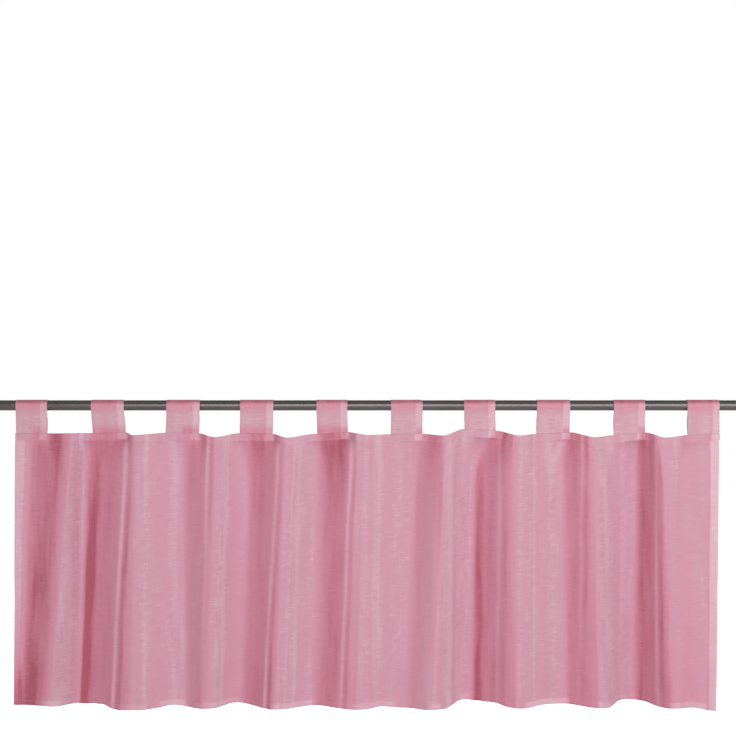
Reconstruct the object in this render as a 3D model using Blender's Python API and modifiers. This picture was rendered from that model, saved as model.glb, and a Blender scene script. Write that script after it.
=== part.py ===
"""Tab top cafe curtain hanging on a round rod.

A sheer panel with turned hems hangs from a metal rod by ten flat tabs, each a strip of doubled cloth that
goes up over the rod and down again, with both ends sewn to the back of the panel's top hem.
X runs along the rod, the curtain's front faces -Y and +Z is up. The origin is on the rod's axis, at the
middle of its length.
"""

import math
from collections import namedtuple

import bmesh
import bpy

MM = 0.001

# Rod
ROD_RADIUS = 10.0 * MM
ROD_LENGTH = 1480.0 * MM
ROD_SIDES = 48
ROD_END_CHAMFER = 0.8 * MM
ROD_EDGE_ANGLE = math.radians(40.0)

# Cloth: a single layer, the turned hems, and the clearance between neighbouring pieces
CLOTH = 1.2 * MM
HEM_CLOTH = 2.0 * MM
CLEARANCE = 0.3 * MM
TOP_HEM = 14.0 * MM
BOTTOM_HEM = 13.0 * MM
HEM_STEP = 1.5 * MM
HEM_LEVEL = -581.0 * MM

# The middle of the panel's cloth where it is sewn to the tabs, in front of both legs of a tab
SEAM_PLANE = -(1.5 * CLEARANCE + CLOTH + HEM_CLOTH / 2)

# Tabs, left to right: centre on the rod, centre at the seam, width, and how far below the rod's axis the
# panel's top edge is at the tab's left and right side
Tab = namedtuple("Tab", "rod_x seam_x width drop_left drop_right")
TABS = [
    Tab(-653.0, -652.0, 61.0, 54.3, 54.3),
    Tab(-505.5, -501.5, 64.0, 53.9, 52.4),
    Tab(-358.5, -360.0, 65.0, 53.5, 54.3),
    Tab(-215.5, -216.5, 64.5, 54.3, 55.3),
    Tab(-69.5, -68.0, 60.0, 55.3, 52.0),
    Tab(76.0, 75.5, 61.5, 56.1, 55.3),
    Tab(217.5, 218.5, 60.5, 45.8, 49.5),
    Tab(361.0, 359.5, 64.5, 55.3, 52.4),
    Tab(508.5, 508.0, 61.0, 58.0, 52.8),
    Tab(652.0, 652.0, 62.5, 57.6, 55.5),
]
# A tab's cloth meets the rod over a little more than a half turn, at most this many times pi
TAB_ARC_LIMIT = 1.2
TAB_ARC_STEPS = 16
TAB_LEG_STEPS = 4
TAB_SEAM_STEPS = 2
TAB_CROSS_STEPS = 2
TAB_END_SETBACK = 2.0 * MM
TAB_STRAIGHT = 2.0 * MM

# The lowest point of the panel's top edge between one tab and the next: place and drop below the axis
Dip = namedtuple("Dip", "x drop")
DIPS = [
    Dip(-570.0, 53.5),
    Dip(-457.0, 56.8),
    Dip(-296.0, 61.0),
    Dip(-156.0, 61.8),
    Dip(5.0, 56.8),
    Dip(144.0, 57.8),
    Dip(295.0, 57.8),
    Dip(440.0, 61.0),
    Dip(577.0, 61.8),
]

# Lines that run down the panel, left to right: place at the top and at the hem, how far the cloth stands
# in front of the seam plane just below the heading and at the hem, how far the hem is lifted there, the
# number of steps to the next line, and whether the line is on a side hem
Line = namedtuple("Line", "top_x hem_x top_out hem_out lift steps side")
LINES = [
    Line(-684.0, -686.0, 1.0, 5.0, 1.9, 2, True),
    Line(-665.5, -674.0, 0.0, -4.0, 1.0, 1, True),
    Line(-664.0, -672.5, 0.0, -4.5, 1.0, 2, False),
    Line(-636.0, -665.0, -7.0, -8.0, 0.7, 4, False),
    Line(-573.5, -620.0, 18.0, 16.0, 2.8, 5, False),
    Line(-538.5, -542.5, -14.0, -24.0, 1.3, 6, False),
    Line(-449.0, -461.0, 22.0, 28.0, -1.6, 6, False),
    Line(-352.0, -360.0, -6.0, -2.0, -0.6, 4, False),
    Line(-298.0, -311.5, 18.0, 22.0, -0.9, 5, False),
    Line(-228.0, -230.0, -10.0, -15.0, 0.8, 4, False),
    Line(-158.5, -174.0, 20.0, 24.0, -1.2, 5, False),
    Line(-94.0, -88.5, -8.0, -4.0, -0.7, 4, False),
    Line(-18.5, -15.0, 20.0, 26.0, -1.2, 6, False),
    Line(94.0, 72.5, -6.0, 2.0, -1.4, 4, False),
    Line(152.0, 132.5, 18.0, 28.0, -1.6, 5, False),
    Line(210.0, 202.5, -20.0, -33.0, 2.2, 5, False),
    Line(282.0, 295.5, 18.0, 20.0, -0.7, 6, False),
    Line(385.0, 377.0, -8.0, -12.0, 0.6, 4, False),
    Line(439.0, 454.5, 16.0, 17.0, -0.2, 5, False),
    Line(524.5, 522.5, -22.0, -38.0, 2.8, 5, False),
    Line(575.0, 586.5, 18.0, 18.0, -0.5, 6, False),
    Line(662.0, 660.5, 6.0, 22.0, -2.0, 1, False),
    Line(663.5, 662.0, 6.0, 22.0, -2.0, 2, True),
    Line(683.0, 676.0, 4.0, 24.0, -2.7, 0, True),
]
FOLD_ROUNDNESS = 0.55

# How the tabs hold the heading: the cloth is flat at a tab, free this far beside it, and its folds open
# over this length below the top hem
TAB_HOLD_MARGIN = 2.0 * MM
TAB_HOLD_FADE = 10.0 * MM
HEADING_FADE = 90.0 * MM

# Rows of the panel between its two hems, as shares of the height between them
BODY_ROWS = [0.035, 0.08, 0.13, 0.19, 0.27, 0.37, 0.48, 0.6, 0.73, 0.87]


def ease(t):
    """A step from 0 to 1 with level ends."""
    t = min(1.0, max(0.0, t))
    return t * t * (3.0 - 2.0 * t)


def mix(a, b, t):
    return a + (b - a) * t


def top_edge_drop(x):
    """Drop of the panel's top edge below the rod's axis, level at each tab's sides and at each dip."""
    knots = []
    for tab in TABS:
        knots.append(((tab.seam_x - tab.width / 2) * MM, tab.drop_left * MM))
        knots.append(((tab.seam_x + tab.width / 2) * MM, tab.drop_right * MM))
    knots += [(dip.x * MM, dip.drop * MM) for dip in DIPS]
    knots.sort()
    if x <= knots[0][0]:
        return knots[0][1]
    for (x0, drop0), (x1, drop1) in zip(knots, knots[1:]):
        if x <= x1:
            return mix(drop0, drop1, ease((x - x0) / (x1 - x0)))
    return knots[-1][1]


def freedom(x):
    """0 where a tab holds the top hem flat, 1 clear of the tabs."""
    gap = min(abs(x - tab.seam_x * MM) - tab.width * MM / 2 for tab in TABS)
    return ease((gap - TAB_HOLD_MARGIN) / TAB_HOLD_FADE)


def panel_columns():
    """Each column as the lines on its two sides, its share of the way between them, and if it is hemmed."""
    columns = []
    for line, following in zip(LINES, LINES[1:]):
        for step in range(line.steps):
            hemmed = line.side and (step == 0 or following.side)
            columns.append((line, following, step / line.steps, hemmed))
    columns.append((LINES[-1], LINES[-1], 0.0, True))
    return columns


def panel_rows(top, hem):
    """Heights of the rows of one column, from the top edge to the hem, and which of them are on a hem."""
    upper = top - TOP_HEM
    lower = hem + BOTTOM_HEM
    heights = [top, upper + TOP_HEM / 2, upper, upper - HEM_STEP]
    heights += [mix(upper, lower, share) for share in BODY_ROWS]
    heights += [lower + HEM_STEP, lower, hem]
    on_hem = [True] * 3 + [False] * (len(BODY_ROWS) + 2) + [True] * 2
    return heights, on_hem


def panel_point(column, height, top, hem):
    """A point of the middle of the panel's cloth."""
    left, right, share, _ = column
    down = (top - height) / (top - hem)
    x = mix(mix(left.top_x, left.hem_x, down), mix(right.top_x, right.hem_x, down), share) * MM
    bend = mix(share, ease(share), FOLD_ROUNDNESS)
    top_out = mix(left.top_out, right.top_out, bend)
    hem_out = mix(left.hem_out, right.hem_out, bend)
    out = mix(top_out, hem_out, ease(down)) * MM
    released = ease((top - TOP_HEM - height) / HEADING_FADE)
    if out > 0.0:
        out *= mix(freedom(x), 1.0, released)
    else:
        out *= released
    return x, SEAM_PLANE - out, height


def build_panel(collection, material):
    """The panel: a grid laid into its folds, thicker along its hems."""
    columns = panel_columns()
    row_count = len(panel_rows(0.0, HEM_LEVEL)[0])
    bm = bmesh.new()
    bmesh.ops.create_grid(bm, x_segments=len(columns) - 1, y_segments=row_count - 1, size=0.5)
    hem_vertices = []
    for vertex in bm.verts:
        column = columns[round((vertex.co.x + 0.5) * (len(columns) - 1))]
        row = round((0.5 - vertex.co.y) * (row_count - 1))
        left, right, share, hemmed = column
        top = -top_edge_drop(mix(left.top_x, right.top_x, share) * MM)
        hem = HEM_LEVEL + mix(left.lift, right.lift, ease(share)) * MM
        heights, on_hem = panel_rows(top, hem)
        vertex.co = panel_point(column, heights[row], top, hem)
        if hemmed or on_hem[row]:
            hem_vertices.append(vertex.index)
    panel = add_object("panel", bm, collection, material)
    hems = panel.vertex_groups.new(name="hems")
    hems.add(hem_vertices, 1.0, "REPLACE")
    thickness = thicken(panel, HEM_CLOTH)
    thickness.vertex_group = hems.name
    thickness.thickness_vertex_group = CLOTH / HEM_CLOTH


def tab_path(tab):
    """The middle of a tab's cloth seen along the rod, from its front end over the rod to its back end."""
    half_step = TAB_ARC_LIMIT * math.pi / TAB_ARC_STEPS / 2
    radius = (ROD_RADIUS + CLEARANCE) / math.cos(half_step) + CLOTH / 2
    leg_y = (CLEARANCE + CLOTH) / 2
    high = -min(tab.drop_left, tab.drop_right) * MM + TAB_STRAIGHT
    low = -min(tab.drop_left, tab.drop_right) * MM - TOP_HEM + TAB_END_SETBACK
    reach = math.hypot(leg_y, high)
    contact = math.atan2(high, -leg_y) - math.acos(radius / reach)
    contact_y = radius * math.cos(contact)
    contact_z = radius * math.sin(contact)
    front = [(-leg_y, mix(low, high, n / TAB_SEAM_STEPS)) for n in range(TAB_SEAM_STEPS)]
    front += [
        (mix(-leg_y, contact_y, n / TAB_LEG_STEPS), mix(high, contact_z, n / TAB_LEG_STEPS))
        for n in range(TAB_LEG_STEPS)
    ]
    start = contact % (2 * math.pi)
    sweep = 2 * (start - math.pi / 2)
    arc = [
        (radius * math.cos(angle), radius * math.sin(angle))
        for angle in (start - sweep * n / TAB_ARC_STEPS for n in range(TAB_ARC_STEPS + 1))
    ]
    back = [(-y, z) for y, z in reversed(front)]
    return front + arc + back


def build_tab(number, tab, collection, material):
    """One tab: a strip laid along its path over the rod."""
    path = tab_path(tab)
    low = path[0][1]
    bm = bmesh.new()
    bmesh.ops.create_grid(bm, x_segments=TAB_CROSS_STEPS, y_segments=len(path) - 1, size=0.5)
    for vertex in bm.verts:
        y, z = path[round((vertex.co.y + 0.5) * (len(path) - 1))]
        centre = mix(tab.rod_x, tab.seam_x, ease(z / low)) * MM
        vertex.co = (centre + vertex.co.x * tab.width * MM, y, z)
    strip = add_object(f"tab_{number:02d}", bm, collection, material)
    thicken(strip, CLOTH)


def build_rod(collection, material):
    """The rod: a plain round bar with a small chamfer at each end."""
    bm = bmesh.new()
    bmesh.ops.create_cone(
        bm,
        cap_ends=True,
        segments=ROD_SIDES,
        radius1=ROD_RADIUS,
        radius2=ROD_RADIUS,
        depth=ROD_LENGTH,
    )
    rod = add_object("rod", bm, collection, material)
    rod.rotation_euler = (0.0, math.pi / 2, 0.0)
    chamfer = rod.modifiers.new("chamfer", "BEVEL")
    chamfer.width = ROD_END_CHAMFER
    chamfer.segments = 1
    chamfer.limit_method = "ANGLE"
    chamfer.angle_limit = ROD_EDGE_ANGLE
    rod.data.set_sharp_from_angle(angle=ROD_EDGE_ANGLE)


def add_object(name, bm, collection, material):
    """A smooth shaded object made from the mesh that a sub-part was shaped in."""
    mesh = bpy.data.meshes.new(name)
    bm.to_mesh(mesh)
    bm.free()
    mesh.shade_smooth()
    mesh.materials.append(material)
    item = bpy.data.objects.new(name, mesh)
    collection.objects.link(item)
    return item


def thicken(item, thickness):
    """Give a sheet its thickness, half of it on each side of the middle."""
    solidify = item.modifiers.new("thickness", "SOLIDIFY")
    solidify.thickness = thickness
    solidify.offset = 0.0
    solidify.use_even_offset = True
    return solidify


def make_material(name, colour, roughness, metallic):
    material = bpy.data.materials.new(name)
    material.use_nodes = True
    surface = material.node_tree.nodes["Principled BSDF"]
    surface.inputs["Base Color"].default_value = (*colour, 1.0)
    surface.inputs["Roughness"].default_value = roughness
    surface.inputs["Metallic"].default_value = metallic
    return material


def build_curtain():
    for item in list(bpy.data.objects):
        bpy.data.objects.remove(item, do_unlink=True)
    collection = bpy.data.collections.new("cafe_curtain")
    bpy.context.scene.collection.children.link(collection)
    panel_cloth = make_material("panel_voile", (0.58, 0.26, 0.34), 0.85, 0.0)
    tab_cloth = make_material("tab_voile", (0.64, 0.34, 0.42), 0.85, 0.0)
    rod_metal = make_material("rod_metal", (0.19, 0.17, 0.17), 0.35, 0.9)
    build_rod(collection, rod_metal)
    build_panel(collection, panel_cloth)
    for number, tab in enumerate(TABS, start=1):
        build_tab(number, tab, collection, tab_cloth)


build_curtain()
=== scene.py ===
import math
from collections import namedtuple

import bpy
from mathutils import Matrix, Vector, noise


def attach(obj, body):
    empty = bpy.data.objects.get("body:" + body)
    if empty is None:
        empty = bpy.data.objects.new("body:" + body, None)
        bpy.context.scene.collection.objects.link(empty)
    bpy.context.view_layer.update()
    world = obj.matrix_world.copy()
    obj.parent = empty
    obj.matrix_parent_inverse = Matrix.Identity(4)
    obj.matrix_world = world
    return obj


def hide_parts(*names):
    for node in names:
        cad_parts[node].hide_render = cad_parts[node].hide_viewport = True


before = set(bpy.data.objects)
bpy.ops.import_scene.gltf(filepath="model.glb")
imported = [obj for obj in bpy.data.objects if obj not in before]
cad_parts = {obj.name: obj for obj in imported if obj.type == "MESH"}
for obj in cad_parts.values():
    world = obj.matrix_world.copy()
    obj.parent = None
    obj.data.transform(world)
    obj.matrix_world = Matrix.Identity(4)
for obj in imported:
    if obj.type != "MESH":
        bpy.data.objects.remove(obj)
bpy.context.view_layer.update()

MM = 0.001

# The room: a level camera a little above the rod, before a wall of white light and over a pale floor. A
# broad soft lamp stands in front and a small one to the right, so that folds that rise to the right are
# in shade. A third lamp lights the back. Lamps stand by degrees to the camera's right and degrees up.
CAMERA_DISTANCE = 2400.0 * MM
CAMERA_X = 0.7 * MM
CAMERA_HEIGHT = 72.75 * MM
PICTURE_HALF_WIDTH = 716.4 * MM
SENSOR = 36.0

bpy.ops.object.select_all(action="DESELECT")
bpy.ops.object.camera_add(
    location=(CAMERA_X, -CAMERA_DISTANCE, CAMERA_HEIGHT), rotation=(math.pi / 2, 0.0, 0.0)
)
camera = bpy.context.object
camera.name = "camera"
camera.data.sensor_width = SENSOR
camera.data.lens = SENSOR / 2 * CAMERA_DISTANCE / PICTURE_HALF_WIDTH
camera.data.clip_start = 0.05
camera.data.clip_end = 60.0
bpy.context.scene.camera = camera
bpy.context.scene.view_settings.view_transform = "Standard"

Lamp = namedtuple("Lamp", "name azimuth elevation distance width height watts")
LAMPS = [
    Lamp("key_lamp", 52.0, 20.0, 3.2, 1.6, 1.6, 10.0),
    Lamp("front_lamp", 7.0, 11.0, 3.6, 5.0, 0.8, 79.0),
    Lamp("back_lamp", 180.0, 6.0, 3.6, 5.0, 0.8, 60.0),
]
LAMP_AIM = Vector((0.0, 0.0, -0.28))

for lamp in LAMPS:
    azimuth = math.radians(lamp.azimuth)
    elevation = math.radians(lamp.elevation)
    towards = Vector((
        math.sin(azimuth) * math.cos(elevation),
        -math.cos(azimuth) * math.cos(elevation),
        math.sin(elevation),
    ))
    bpy.ops.object.light_add(type="AREA", location=LAMP_AIM + towards * lamp.distance)
    lit = bpy.context.object
    lit.name = lamp.name
    lit.rotation_euler = towards.to_track_quat("Z", "Y").to_euler()
    lit.data.shape = "RECTANGLE"
    lit.data.size = lamp.width
    lit.data.size_y = lamp.height
    lit.data.energy = lamp.watts
    lit.visible_camera = False


def add_node(tree, kind, **settings):
    """A node of a kind, with its properties by name."""
    node = tree.nodes.new("ShaderNode" + kind)
    for name, value in settings.items():
        setattr(node, name, value)
    return node


def join(tree, source, output, target, entry):
    """Links an output of one node to an input of another, each by its name or number."""
    tree.links.new(source.outputs[output], target.inputs[entry])


ROOM_GLOW = 0.32
ROOM_COLOUR = (1.0, 0.985, 0.975, 1.0)
BACKDROP_GLOW = 1.0
BACKDROP_COLOUR = (1.0, 1.0, 1.0, 1.0)
room = bpy.data.worlds.new("room")
bpy.context.scene.world = room
room.use_nodes = True
room_tree = room.node_tree
room_tree.nodes.clear()
room_output = add_node(room_tree, "OutputWorld")
room_mix = add_node(room_tree, "MixShader")
room_path = add_node(room_tree, "LightPath")
room_glow = add_node(room_tree, "Background")
room_glow.inputs["Color"].default_value = ROOM_COLOUR
room_glow.inputs["Strength"].default_value = ROOM_GLOW
room_wall = add_node(room_tree, "Background")
room_wall.inputs["Color"].default_value = BACKDROP_COLOUR
room_wall.inputs["Strength"].default_value = BACKDROP_GLOW
join(room_tree, room_path, "Is Camera Ray", room_mix, 0)
join(room_tree, room_glow, 0, room_mix, 1)
join(room_tree, room_wall, 0, room_mix, 2)
join(room_tree, room_mix, 0, room_output, 0)

# The floor glows a little to the camera alone, so that it is as white as the wall
FLOOR_LEVEL = -960.0 * MM
FLOOR_SIZE = 16.0
FLOOR_PAINT = (0.9, 0.895, 0.89)
FLOOR_LIFT = 0.74
bpy.ops.mesh.primitive_plane_add(size=FLOOR_SIZE, location=(0.0, 0.0, FLOOR_LEVEL))
floor = bpy.context.object
floor.name = "floor"
floor_paint = bpy.data.materials.new("floor_paint")
floor_paint.use_nodes = True
floor_tree = floor_paint.node_tree
floor_surface = floor_tree.nodes["Principled BSDF"]
floor_surface.inputs["Base Color"].default_value = (*FLOOR_PAINT, 1.0)
floor_surface.inputs["Roughness"].default_value = 0.85
floor_surface.inputs["Emission Color"].default_value = (1.0, 1.0, 1.0, 1.0)
floor_seen = add_node(floor_tree, "LightPath")
floor_lift = add_node(floor_tree, "Math", operation="MULTIPLY")
floor_lift.inputs[1].default_value = FLOOR_LIFT
join(floor_tree, floor_seen, "Is Camera Ray", floor_lift, 0)
join(floor_tree, floor_lift, "Value", floor_surface, "Emission Strength")
floor.data.materials.append(floor_paint)


# The rod: a dark grey lacquered steel tube, 20 mm across, which the tabs are threaded on. Its ends are
# closed by flat plugs set a little back in the tube. It is held outside the picture.
ROD_RADIUS = 10.0 * MM
ROD_LENGTH = 1480.0 * MM
ROD_SIDES = 96
ROD_WALL = 1.4 * MM
ROD_PLUG_GAP = 0.3 * MM
ROD_PLUG_SETBACK = 0.5 * MM
ROD_EDGE = 0.25 * MM
ROD_EDGE_ANGLE = math.radians(40.0)
ROD_END_NORMAL = 0.9

bpy.ops.object.select_all(action="DESELECT")
bpy.ops.mesh.primitive_cylinder_add(
    vertices=ROD_SIDES, radius=ROD_RADIUS, depth=ROD_LENGTH, rotation=(0.0, math.pi / 2, 0.0)
)
rod = bpy.context.object
rod.name = "rod_tube"
bpy.ops.object.transform_apply(location=True, rotation=True, scale=True)
bpy.ops.object.mode_set(mode="EDIT")
bpy.ops.mesh.select_mode(type="FACE")
bpy.ops.mesh.select_all(action="DESELECT")
bpy.ops.object.mode_set(mode="OBJECT")
for face in rod.data.polygons:
    face.select = abs(face.normal.x) > ROD_END_NORMAL
bpy.ops.object.mode_set(mode="EDIT")
bpy.ops.mesh.inset(thickness=ROD_WALL)
bpy.ops.mesh.inset(thickness=ROD_PLUG_GAP, depth=-ROD_PLUG_SETBACK)
bpy.ops.object.mode_set(mode="OBJECT")
rod_edges = rod.modifiers.new("rounded edges", "BEVEL")
rod_edges.width = ROD_EDGE
rod_edges.segments = 3
rod_edges.limit_method = "ANGLE"
rod_edges.angle_limit = ROD_EDGE_ANGLE
bpy.ops.object.modifier_apply(modifier=rod_edges.name)
bpy.ops.object.shade_smooth_by_angle(angle=ROD_EDGE_ANGLE)


def add_noise(tree, place, output, scale, detail, **settings):
    """Noise over a place, with a scale for each axis."""
    scaled = add_node(tree, "Mapping")
    scaled.inputs["Scale"].default_value = scale
    pattern = add_node(tree, "TexNoise", **settings)
    pattern.inputs["Scale"].default_value = 1.0
    pattern.inputs["Detail"].default_value = detail
    join(tree, place, output, scaled, "Vector")
    join(tree, scaled, "Vector", pattern, "Vector")
    return pattern


def remap(tree, source, output, to_range, from_range=(0.0, 1.0), **settings):
    """An output's values moved from one range to another."""
    node = add_node(tree, "MapRange", **settings)
    node.inputs["From Min"].default_value = from_range[0]
    node.inputs["From Max"].default_value = from_range[1]
    node.inputs["To Min"].default_value = to_range[0]
    node.inputs["To Max"].default_value = to_range[1]
    join(tree, source, output, node, "Value")
    return node


def blend(tree, source, output, low, high):
    """A colour between two, by the value of an output."""
    node = add_node(tree, "Mix", data_type="RGBA")
    node.inputs["A"].default_value = (*low, 1.0)
    node.inputs["B"].default_value = (*high, 1.0)
    join(tree, source, output, node, "Factor")
    return node


def add_relief(tree, source, output, surface, strength, height):
    """Fine relief on a surface, by the value of an output."""
    relief = add_node(tree, "Bump")
    relief.inputs["Strength"].default_value = strength
    relief.inputs["Distance"].default_value = height
    join(tree, source, output, relief, "Height")
    join(tree, relief, "Normal", surface, "Normal")


# The lacquer shows the fine grain of the drawn tube along it
LACQUER_DARK = (0.148, 0.134, 0.133)
LACQUER_LIGHT = (0.192, 0.176, 0.175)
LACQUER_ROUGHNESS = (0.3, 0.38)
LACQUER_GRAIN = (6.0, 260.0, 260.0)
LACQUER_MOTTLE = (14.0, 14.0, 14.0)
lacquer = bpy.data.materials.new("rod_lacquer")
lacquer.use_nodes = True
tree = lacquer.node_tree
surface = tree.nodes["Principled BSDF"]
surface.inputs["Metallic"].default_value = 0.85
surface.inputs["Specular IOR Level"].default_value = 0.25
place = add_node(tree, "TexCoord")
grain = add_noise(tree, place, "Object", LACQUER_GRAIN, 3.0)
mottle = add_noise(tree, place, "Object", LACQUER_MOTTLE, 2.0)
tint = blend(tree, mottle, "Fac", LACQUER_DARK, LACQUER_LIGHT)
gloss = remap(tree, grain, "Fac", LACQUER_ROUGHNESS)
join(tree, tint, "Result", surface, "Base Color")
join(tree, gloss, "Result", surface, "Roughness")
add_relief(tree, grain, "Fac", surface, 0.25, 0.05 * MM)
rod.data.materials.append(lacquer)
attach(rod, "root")
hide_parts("rod")


# The panel: one length of sheer voile with a turned hem on all four sides, sewn to the tabs along its top
# hem and hanging in soft uneven folds. Its shape comes first, by tables in mm with x from the middle of
# the rod, then its weave and colour.

# Where each tab lies on the rod and on the panel, its width, and how far below the rod's axis the panel's
# top edge is at its left and right side. The dips are the lowest or highest places between two tabs.
Tab = namedtuple("Tab", "rod_x seam_x width drop_left drop_right")
TABS = [
    Tab(-652.2, -654.0, 61.0, 54.3, 54.3),
    Tab(-504.8, -503.0, 64.0, 53.9, 52.4),
    Tab(-358.0, -361.1, 65.0, 53.5, 54.3),
    Tab(-215.2, -217.1, 64.5, 54.3, 55.3),
    Tab(-69.4, -68.2, 60.0, 55.3, 52.0),
    Tab(75.9, 75.7, 61.5, 56.1, 55.3),
    Tab(217.2, 219.2, 60.5, 45.8, 49.5),
    Tab(360.5, 360.6, 64.5, 55.3, 52.4),
    Tab(507.8, 509.5, 61.0, 58.0, 52.8),
    Tab(651.2, 654.0, 62.5, 57.6, 55.5),
]
Dip = namedtuple("Dip", "x drop")
DIPS = [
    Dip(-570.0, 53.5),
    Dip(-457.0, 56.8),
    Dip(-296.0, 61.0),
    Dip(-156.0, 61.8),
    Dip(5.0, 56.8),
    Dip(144.0, 57.8),
    Dip(295.0, 57.8),
    Dip(440.0, 61.0),
    Dip(577.0, 61.8),
]

# Where the folds are furthest in and out, from the left edge to the right one: x at the top and at the
# hem, how far out to the front at both, how far the hem's level is lifted, and how far a tab pulls the
# line aside at the heading
Line = namedtuple("Line", "top_x hem_x top_out hem_out lift pull")
LINES = [
    Line(-685.4, -688.2, 1.0, 0.5, 1.9, 0.0),
    Line(-667.2, -681.0, 0.0, -1.5, 1.0, 0.0),
    Line(-655.0, -674.0, -3.0, -3.0, 0.7, 0.0),
    Line(-570.6, -614.0, 18.0, 16.0, 2.8, 0.0),
    Line(-552.5, -567.0, -14.0, -24.0, 1.3, 0.0),
    Line(-446.0, -456.8, 22.0, 28.0, -1.6, 0.0),
    Line(-360.5, -356.0, -6.0, -2.0, -0.6, 0.0),
    Line(-296.5, -315.0, 18.0, 22.0, -0.9, 0.0),
    Line(-230.0, -249.0, -10.0, -15.0, 0.8, -22.0),
    Line(-157.6, -178.0, 20.0, 24.0, -1.2, 0.0),
    Line(-96.0, -108.0, -8.0, -4.0, -0.7, -8.0),
    Line(-20.0, -26.0, 20.0, 26.0, -1.2, -10.0),
    Line(94.5, 72.6, -6.0, 2.0, -1.4, 0.0),
    Line(151.2, 126.0, 18.0, 28.0, -1.6, 0.0),
    Line(204.5, 197.0, -20.0, -33.0, 2.2, 38.0),
    Line(280.6, 288.0, 18.0, 20.0, -0.7, 4.0),
    Line(378.0, 384.5, -8.0, -12.0, 0.6, 0.0),
    Line(434.0, 447.0, 16.0, 17.0, -0.2, 0.0),
    Line(526.5, 520.5, -22.0, -38.0, 2.8, 0.0),
    Line(569.0, 589.0, 18.0, 18.0, -0.5, -8.0),
    Line(665.5, 656.1, 6.0, 22.0, -2.0, 0.0),
    Line(683.6, 670.9, 4.0, 24.0, -2.7, 0.0),
]
PULL_FADE = 120.0

# Softer ridges on the folds, or with a minus troughs: x at the top and at the hem, the reach to the left
# and to the right, and the rise at the top and at the hem. They wander and swell a little on their way.
Crease = namedtuple("Crease", "top_x hem_x left right top_rise hem_rise")
CREASES = [
    Crease(-461.5, -489.5, 8, 13, -1.8, -2.8),
    Crease(-305.0, -316.0, 7, 9, -1.6, -0.3),
    Crease(-167.5, -197.0, 7, 9, -1.5, -1.6),
    Crease(-26.5, -49.0, 7, 9, -1.5, -1.0),
    Crease(262.0, 255.0, 7, 12, -0.5, -0.9),
    Crease(421.0, 414.0, 7, 9, -1.0, -0.4),
    Crease(561.0, 568.0, 6, 8, -0.9, -0.9),
    Crease(-543.1, -565.0, 14, 8, -0.9, -0.8),
    Crease(213.3, 211.0, 14, 16, -0.5, -0.9),
    Crease(533.0, 533.3, 10, 10, -0.4, -0.8),
    Crease(-557.7, -572.6, 12, 8, 0.8, 0.3),
    Crease(-433.4, -436.5, 10, 8, 0.3, 0.6),
    Crease(-420.0, -424.0, 12, 18, -1.6, -1.5),
    Crease(-385.9, -387.5, 18, 20, 1.9, 2.0),
    Crease(-283.5, -300.3, 16, 15, 1.8, 1.6),
    Crease(-267.0, -280.3, 8, 34, -2.6, -2.6),
    Crease(-144.2, -163.1, 8, 6, 0.9, 1.0),
    Crease(-126.0, -140.0, 9, 20, -1.6, -1.4),
    Crease(-7.0, -20.5, 8, 13, 1.0, 1.3),
    Crease(10.3, 6.5, 6, 10, 1.2, 1.2),
    Crease(29.7, 23.9, 10, 18, -2.0, -1.8),
    Crease(149.3, 145.4, 12, 16, 1.5, 1.7),
    Crease(171.3, 170.2, 8, 26, 1.8, 1.6),
    Crease(291.4, 288.3, 10, 8, 1.2, 1.0),
    Crease(328.0, 326.0, 8, 10, -1.4, -1.0),
    Crease(342.7, 344.9, 14, 22, 2.0, 1.6),
    Crease(443.3, 450.8, 13, 24, 1.6, 1.2),
    Crease(468.0, 470.0, 10, 22, -1.4, -1.2),
    Crease(490.1, 493.2, 8, 9, 0.9, 0.9),
    Crease(587.0, 594.0, 14, 14, 1.0, 0.6),
    Crease(603.0, 606.0, 10, 24, -1.4, -0.8),
]
CREASE_WANDER = 2.2
CREASE_WANDER_WAVES = 4.5
CREASE_WANDER_SEED = 0.3
CREASE_SWELL = 0.7
CREASE_SWELL_WAVES = 3.5
CREASE_SWELL_SEED = 7.3

# Painted shade in the folds, where the voile also lies close in front of its own fold and looks deeper, or
# with a minus painted light, where a fold opens flat. The spread is how fast the tint at the top gives way
# to the one at the hem.
LayerShade = namedtuple("LayerShade", "top_x hem_x left right top_tint hem_tint")
LAYER_SHADES = [
    LayerShade(-645.0, -672.0, 28, 34, 0.34, 0.4),
    LayerShade(-600.0, -662.0, 34, 42, 0.38, 0.28),
    LayerShade(-590.0, -640.0, 26, 28, 0.06, 0.15),
    LayerShade(-405.0, -415.0, 45, 45, 0.06, 0.06),
    LayerShade(-270.0, -268.0, 32, 34, 0.08, 0.16),
    LayerShade(-525.0, -558.0, 20, 19, 0.2, 0.76),
    LayerShade(-500.0, -512.0, 30, 25, 0.2, 0.0),
    LayerShade(-560.0, -575.0, 12, 22, 0.0, 0.24),
    LayerShade(-330.0, -345.0, 28, 28, 0.0, -0.18),
    LayerShade(-258.0, -262.0, 22, 24, 0.0, 0.1),
    LayerShade(-212.0, -212.0, 30, 32, 0.35, 0.0),
    LayerShade(-74.0, -80.0, 32, 30, 0.45, 0.14),
    LayerShade(-44.0, -66.0, 20, 16, 0.34, 0.12),
    LayerShade(125.0, 104.0, 28, 30, 0.0, -0.26),
    LayerShade(215.0, 213.6, 12, 18, 0.08, 0.42),
    LayerShade(228.0, 228.0, 15, 13, -0.24, 0.0),
    LayerShade(262.0, 262.0, 24, 20, -0.16, 0.0),
    LayerShade(398.0, 397.0, 26, 22, 0.26, 0.13),
    LayerShade(550.0, 536.0, 14, 16, -0.3, 0.14),
    LayerShade(600.0, 602.0, 18, 20, 0.0, 0.16),
    LayerShade(625.0, 615.0, 55, 50, 0.14, 0.08),
]
LAYER_SHADE_SPREAD = 3.0
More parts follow.
